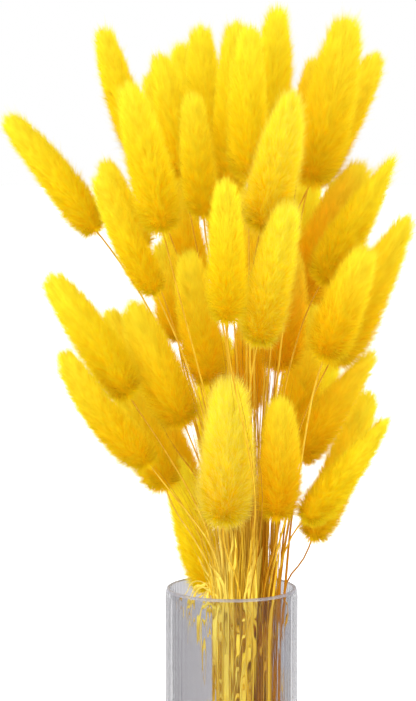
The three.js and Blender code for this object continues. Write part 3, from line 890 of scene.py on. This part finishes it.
@cache
def straw_material():
    """Dry straw: long streaks from pale yellow to amber, with a slight gloss, and painted shade that
    darkens it inside the glass and towards a strand's end.
    """
    settings = bpy.context.scene.bunny_stalks
    made, w = material("Dyed Straw")
    at = w.xyz(w.object_place())
    side = w.ramp(at["X"], PALE_X, BROWN_X, PALER, BROWNER)
    low = w.ramp(at["Z"], NECK_TOP, VASE_HEIGHT)
    # painted shade: browner inside the glass, for the shade among the stems there
    glass_shade = w.ramp(at["Z"], GLASS_SHADE_FROM, GLASS_SHADE_TO)
    tone = w.math("MULTIPLY_ADD", side, low, w.attribute("tone"))
    tone = w.math("MULTIPLY_ADD", glass_shade, GLASS_SHADE, tone)
    tone = w.math("SUBTRACT", tone, MIDDLE_TONE)
    tone = w.math("MULTIPLY_ADD", w.attribute("edge"), EDGE_TONE, tone)
    own = w.blend(w.ramp(tone, end=0.35), settings.light, settings.usual)
    own = w.blend(w.ramp(tone, start=0.45), own, settings.dark)
    # painted shade: darker towards a strand's end, for the shade under the heads
    end_shade = w.times(w.math("POWER", w.attribute("along"), END_SHADE_POWER), END_SHADE)
    own = w.blend(end_shade, own, settings.dark)
    tint, mask = toned(w, own, settings.dark, (520, 520, 22), 0.5)
    bump = w.add("ShaderNodeBump", {"Height": mask, "Strength": 0.3, "Distance": 0.2 * MM})
    dry = w.add(
        "ShaderNodeBsdfPrincipled",
        {
            "Base Color": tint,
            "Roughness": w.ramp(mask, first=0.42, last=0.62),
            "Specular IOR Level": 0.05,
            "Normal": bump,
        },
    )
    w.end(dry)
    return made


def glass_material(settings):
    """Slightly grey pressed glass, with painted shade at the back and, in stripes by the ribs, where the
    wall is seen along.
    """
    made, w = material("Grey Glass")
    _, mask = toned(w, WHITE, BLACK, (60, 60, 12), 1.0)
    at = w.xyz(w.object_place())
    # painted shade: darker towards the back of the glass, for the dark surroundings seen through it
    far = w.ramp(at["Y"], -VASE_RADIUS, VASE_RADIUS)
    tint = w.blend(far, settings.tint, settings.back)
    # partly painted shade where the wall is seen along, striped by the ribs
    groove = w.math("COSINE", w.times(w.math("ARCTAN2", at["Y"], at["X"]), float(RIBS)))
    facing = w.add("ShaderNodeLayerWeight", {"Blend": 0.5}).outputs["Facing"]
    edge = w.math("POWER", facing, EDGE_POWER)
    shade = w.times(edge, w.math("MULTIPLY_ADD", groove, -RIB_SHADE, EDGE_SHADE))
    glass = w.add(
        "ShaderNodeBsdfPrincipled",
        {
            "Base Color": w.blend(shade, tint, settings.edge),
            "Roughness": w.ramp(mask, first=0.01, last=0.05),
            "IOR": 1.12,
            "Coat Weight": 0.15,
            "Coat Roughness": 0.04,
            "Coat IOR": 1.5,
            "Metallic": 0.0,
            "Transmission Weight": 1.0,
        },
    )
    let_light_through(w, glass)
    return made


def rim_material(settings):
    """The ground rim of the glass, which is duller than its wall."""
    made, w = material("Ground Rim")
    tint, mask = toned(w, settings.rim, settings.worn_rim, (400, 400, 400), 1.0)
    ground = w.add(
        "ShaderNodeBsdfPrincipled",
        {
            "Base Color": tint,
            "Roughness": w.ramp(mask, first=0.25, last=0.4),
            "IOR": 1.3,
            "Transmission Weight": 0.5,
        },
    )
    let_light_through(w, ground)
    return made


def let_light_through(w, surface):
    """Ends a glass material, which shades nothing behind it."""
    path = w.add("ShaderNodeLightPath").outputs
    unseen = w.math("MAXIMUM", path["Is Shadow Ray"], path["Is Diffuse Ray"])
    clear = w.add("ShaderNodeBsdfTransparent")
    both = w.add("ShaderNodeMixShader", {0: unseen, 1: surface, 2: clear})
    w.end(both)


def make_camera(context):
    """The camera, where the photograph was taken from."""
    forward = Vector((0, math.cos(VIEW_PITCH), -math.sin(VIEW_PITCH)))
    camera = bpy.data.cameras.new("camera")
    camera.sensor_width = SENSOR
    camera.lens = SENSOR * VIEW_DISTANCE / (LONG_SIDE * VIEW_UNIT)
    camera.clip_start = 0.01
    camera.clip_end = 50
    eye = put_in("camera", camera)
    eye.location = VIEW_TARGET - forward * VIEW_DISTANCE
    eye.rotation_euler = forward.to_track_quat("-Z", "Y").to_euler()
    context.scene.camera = eye


def make_lights(settings):
    for name, spot, size, source, share, shadow in LIGHTS:
        lamp = bpy.data.lights.new(name, "AREA")
        lamp.size = size
        lamp.energy = getattr(settings, source) * share
        lamp.use_shadow = shadow
        light = put_in(name, lamp)
        light.location = spot
        light.rotation_euler = (LIGHT_AIM - Vector(spot)).to_track_quat("-Z", "Y").to_euler()


def make_surroundings(context, settings):
    """Plain white, which lights the scene less than it shows."""
    world = bpy.data.worlds.new("surroundings")
    world.use_nodes = True
    back = world.node_tree.nodes["Background"]
    back.inputs["Color"].default_value = (*WHITE, 1.0)
    w = Wiring(world.node_tree)
    seen = w.add("ShaderNodeLightPath").outputs["Is Camera Ray"]
    w.tree.links.new(w.ramp(seen, first=settings.sky), back.inputs["Strength"])
    context.scene.world = world
    context.scene.view_settings.view_transform = "Standard"


def make_floor(settings):
    ground = bmesh.new()
    bmesh.ops.create_grid(ground, x_segments=1, y_segments=1, size=FLOOR_SIZE)
    floor = put_mesh("floor", ground)
    made, w = material("Pale Floor")
    seen = w.add("ShaderNodeLightPath").outputs["Is Camera Ray"]
    plain = w.add(
        "ShaderNodeBsdfPrincipled",
        {
            "Base Color": settings.floor,
            "Roughness": 0.9,
            "Specular IOR Level": 0.0,
            "Emission Color": WHITE,
            "Emission Strength": w.math("MULTIPLY_ADD", seen, FLOOR_SHINE, settings.glow),
        },
    )
    w.end(plain)
    floor.data.materials.append(made)


class BUNNY_OT_stage(bpy.types.Operator):
    """Make the camera, the lights and the floor"""

    bl_idname = "bunny.stage"
    bl_label = "Make Stage"

    def execute(self, context):
        settings = context.scene.bunny_stage
        make_camera(context)
        make_lights(settings)
        make_surroundings(context, settings)
        make_floor(settings)
        return {"FINISHED"}


def wall_section():
    """The glass in section, up its outside and down its bore: (from the middle, height)."""
    section = [(VASE_RADIUS - inward * MM, up * MM) for inward, up in OUTER_FOOT]
    section.append((VASE_RADIUS, VASE_HEIGHT / 2))
    section += [(VASE_RADIUS - inward * MM, VASE_HEIGHT - down * MM) for inward, down in OUTER_LIP]
    section += [(BORE_RADIUS + out * MM, VASE_HEIGHT - down * MM) for out, down in BORE_LIP]
    section.append((BORE_RADIUS, VASE_HEIGHT / 2))
    section += [(BORE_RADIUS - inward * MM, VASE_FLOOR + up * MM) for inward, up in BORE_FOOT]
    return section


class BUNNY_OT_vase(bpy.types.Operator):
    """Make the ribbed glass vase"""

    bl_idname = "bunny.vase"
    bl_label = "Make Vase"

    def execute(self, context):
        settings = context.scene.bunny_vase
        ways = circle(RIBS * RIB_STEPS)
        rows = [[(off * x, off * y, height) for x, y in ways] for off, height in wall_section()]
        blank = closed_skin("ribbed_vase", (0, 0, 0), rows, (0, 0, VASE_FLOOR))
        glass = glass_material(settings)
        grow(blank, rib_tree(), depth=settings.rib_depth, material=glass)
        vase = settle(blank)
        vase.data.materials.append(rim_material(settings))
        for face in vase.data.polygons:
            if face.center.z > VASE_HEIGHT - RIM_BAND:
                face.material_index = 1
        place_piece(vase, "vase")
        return {"FINISHED"}


def number_of(name):
    return int(name.split("_")[1])


class BUNNY_OT_heads(bpy.types.Operator):
    """Make the fluffy heads"""

    bl_idname = "bunny.heads"
    bl_label = "Make Heads"

    def execute(self, context):
        settings = context.scene.bunny_heads
        fluff = fluff_material(settings)
        tree = fluff_tree()
        bodies = {}
        for name, tail in tails().items():
            label = name.replace("tail", "fluffy_head")
            number = number_of(name)
            bow = BOWS.get(number, math.sin(7 * number)) * MM
            point = POINTS.get(number, USUAL_POINT)
            bodies[name] = head_body(label, tail, settings.body, bow, point)
        area = sum(face.area for body in bodies.values() for face in body.data.polygons)
        for place, (name, tail) in enumerate(tails().items()):
            grow(
                bodies[name],
                tree,
                density=settings.hairs / area,
                foot=tail.foot,
                axis=tail.axis,
                length=tail.length,
                hair_length=settings.hair_reach * tail.radius,
                hair_width=settings.hair_width,
                dye=DYE.get(number_of(name), USUAL_DYE),
                seed=SEED + 10 * place,
                material=fluff,
            )
        for name, body in bodies.items():
            head = settle(body)
            lay = np.empty(len(head.data.vertices) * 3, np.float32)
            head.data.attributes["lay"].data.foreach_get("vector", lay)
            for face in head.data.polygons:
                face.use_smooth = True
            head.data.normals_split_custom_set_from_vertices(lay.reshape(-1, 3))
            place_piece(head, name)
        return {"FINISHED"}


class BUNNY_OT_stalks(bpy.types.Operator):
    """Make the stalks under the heads"""

    bl_idname = "bunny.stalks"
    bl_label = "Make Stalks"

    def execute(self, context):
        for place, (name, tail) in enumerate(tails().items()):
            course = [(joint, 1.0, 0.0) for joint in tail.joints]
            course.append((tail.foot + tail.axis * STALK_REACH * tail.length, 1.0, 0.0))
            curve = curve_along(name.replace("tail", "stalk"), [course])
            grow_strands(curve, STALK, STALK_TONES, SEED + place)
            place_piece(settle(curve), name)
        return {"FINISHED"}


def between(grown, rng, tops, lows, sway, room):
    """A course from near one stem to near its neighbour, with a slight sway: (point, width, turn)."""
    top = VASE_HEIGHT + rng.uniform(*tops) * MM
    low = rng.uniform(*lows) * MM
    left, right, back, tight, loose = room
    names = [name for name in TAILS if grown[name].joints[-1].z > max(START_LEVEL, top)]
    spots = {name: grown[name].at(START_LEVEL) for name in names}
    firsts = [name for name in names if left < spots[name].x < right and spots[name].y < back]
    first = firsts[rng.integers(len(firsts))]
    nearest = sorted(names, key=lambda name: (spots[name] - spots[first]).length)
    one = grown[first]
    other = grown[nearest[rng.integers(1, NEIGHBOURS + 1)]]
    shares = rng.uniform(*ACROSS, 2)
    turn = rng.uniform(-1, 1)
    spread = rng.uniform(tight, loose)
    course = []
    for share in np.linspace(0, 1, KNOTS):
        height = low + (top - low) * share
        across = shares[0] + (shares[1] - shares[0]) * share
        spot = one.at(height).lerp(other.at(height), across)
        spot += Vector((*rng.uniform(-sway, sway, 2), 0)) * MM
        away = 0 if height < VASE_HEIGHT and spot.x > SHEAF_X else abs(height - VASE_HEIGHT)
        wide = 1 + (spread - 1) * max(0, 1 - away / SPREAD_REACH)
        spot = Vector((SHEAF_X + (spot.x - SHEAF_X) * wide, spot.y * wide, height))
        if height < VASE_HEIGHT:
            kept = min(1, STRAW_ROOM / math.hypot(spot.x, spot.y))
            spot = Vector((spot.x * kept, spot.y * kept, height))
        width = rng.uniform(*STRAW_WIDTHS) if share < 1 else STRAW_END
        course.append((spot, width, turn + rng.uniform(-STRAW_TURN, STRAW_TURN)))
    return course


def curl(stem, rng, height, way, out, rise, drop):
    """The course of a dried leaf that rises from a stem, curls over and hangs: (point, width, turn)."""
    root = stem.at(height * MM)
    aside = Vector((math.cos(math.radians(way)), math.sin(math.radians(way)), 0))
    bends = [(out * across, rise * up) for across, up in HUSK_RISE]
    bends += [(out * across, -drop * down - more) for across, down, more in HUSK_HANG]
    course = []
    for (across, up), width in zip(bends, HUSK_WIDTHS):
        crook = Vector(rng.uniform(-HUSK_CROOK, HUSK_CROOK, 3))
        spot = root + (aside * across + Vector((0, 0, up)) + crook) * MM
        course.append((spot, width, rng.uniform(-HUSK_TURN, HUSK_TURN)))
    return course


def wisp(stem, rng):
    """A short dried leaf end that hangs from a stem inside the glass: (point, width, turn)."""
    root = stem.at(rng.uniform(*WISP_HEIGHTS) * MM)
    out = Vector((root.x - SHEAF_X, root.y, 0)).normalized()
    aside = Vector((-out.y, out.x, 0))
    long = rng.uniform(*WISP_LENGTHS)
    off = rng.uniform(*WISP_OFF)
    skew = rng.uniform(-WISP_SKEW, WISP_SKEW) * long
    turn = rng.uniform(-WISP_TURN, WISP_TURN)
    course = []
    for down, width in WISP_KNOTS:
        crook = rng.uniform(-WISP_CROOK, WISP_CROOK)
        spot = out * off * min(1, 2 * max(down, 0)) + aside * (skew * down + crook)
        course.append((root + (spot - Vector((0, 0, long * down))) * MM, width, turn))
    return course


class BUNNY_OT_straws(bpy.types.Operator):
    """Make the loose straws and the dried leaves at the neck"""

    bl_idname = "bunny.straws"
    bl_label = "Make Straws"

    def execute(self, context):
        settings = context.scene.bunny_stalks
        rng = np.random.default_rng(SEED)
        grown = tails()
        for name, (kind, shades, *ways) in LOOSE.items():
            courses = [between(grown, rng, *ways) for _ in range(getattr(settings, name))]
            if name in HANGING:
                courses = [course[::-1] for course in courses]
            curve = curve_along(name, courses)
            grow_strands(curve, kind, shades)
            strand = settle(curve)
            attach(strand, "root")

        for name, stem in grown.items():
            courses = [curl(stem, rng, *husk) for husk in HUSKS.get(number_of(name), [])]
            if stem.joints[-1].z > VASE_HEIGHT:
                courses += [wisp(stem, rng) for _ in range(settings.wisps)]
            if not courses:
                continue
            curve = curve_along(name.replace("tail", "husks"), courses)
            grow_strands(curve, HUSK, HUSK_TONES, SEED + number_of(name))
            place_piece(settle(curve), name)
        return {"FINISHED"}


class BUNNY_PT_panel(bpy.types.Panel):
    """Lists the sizes and colours, and the steps"""

    bl_idname = "BUNNY_PT_panel"
    bl_label = "Bunny Tails"
    bl_space_type = "VIEW_3D"
    bl_region_type = "UI"
    bl_category = "Bunny Tails"

    def draw(self, context):
        for name in SETTINGS:
            settings = getattr(context.scene, name)
            box = self.layout.box()
            for key in settings.__annotations__:
                box.prop(settings, key)
        for operator in OPERATORS:
            self.layout.operator(operator.bl_idname)


SETTINGS = {
    "bunny_heads": HeadSettings,
    "bunny_stalks": StalkSettings,
    "bunny_vase": VaseSettings,
    "bunny_stage": StageSettings,
}
OPERATORS = (BUNNY_OT_stage, BUNNY_OT_vase, BUNNY_OT_heads, BUNNY_OT_stalks, BUNNY_OT_straws)
CLASSES = (*SETTINGS.values(), *OPERATORS, BUNNY_PT_panel)


def register():
    for made in CLASSES:
        bpy.utils.register_class(made)
    for name, settings in SETTINGS.items():
        setattr(bpy.types.Scene, name, PointerProperty(type=settings))


def unregister():
    for name in SETTINGS:
        delattr(bpy.types.Scene, name)
    for made in reversed(CLASSES):
        bpy.utils.unregister_class(made)


def main():
    register()
    bpy.ops.bunny.stage()
    bpy.ops.bunny.vase()
    bpy.ops.bunny.heads()
    bpy.ops.bunny.stalks()
    bpy.ops.bunny.straws()


if __name__ == "__main__":
    main()
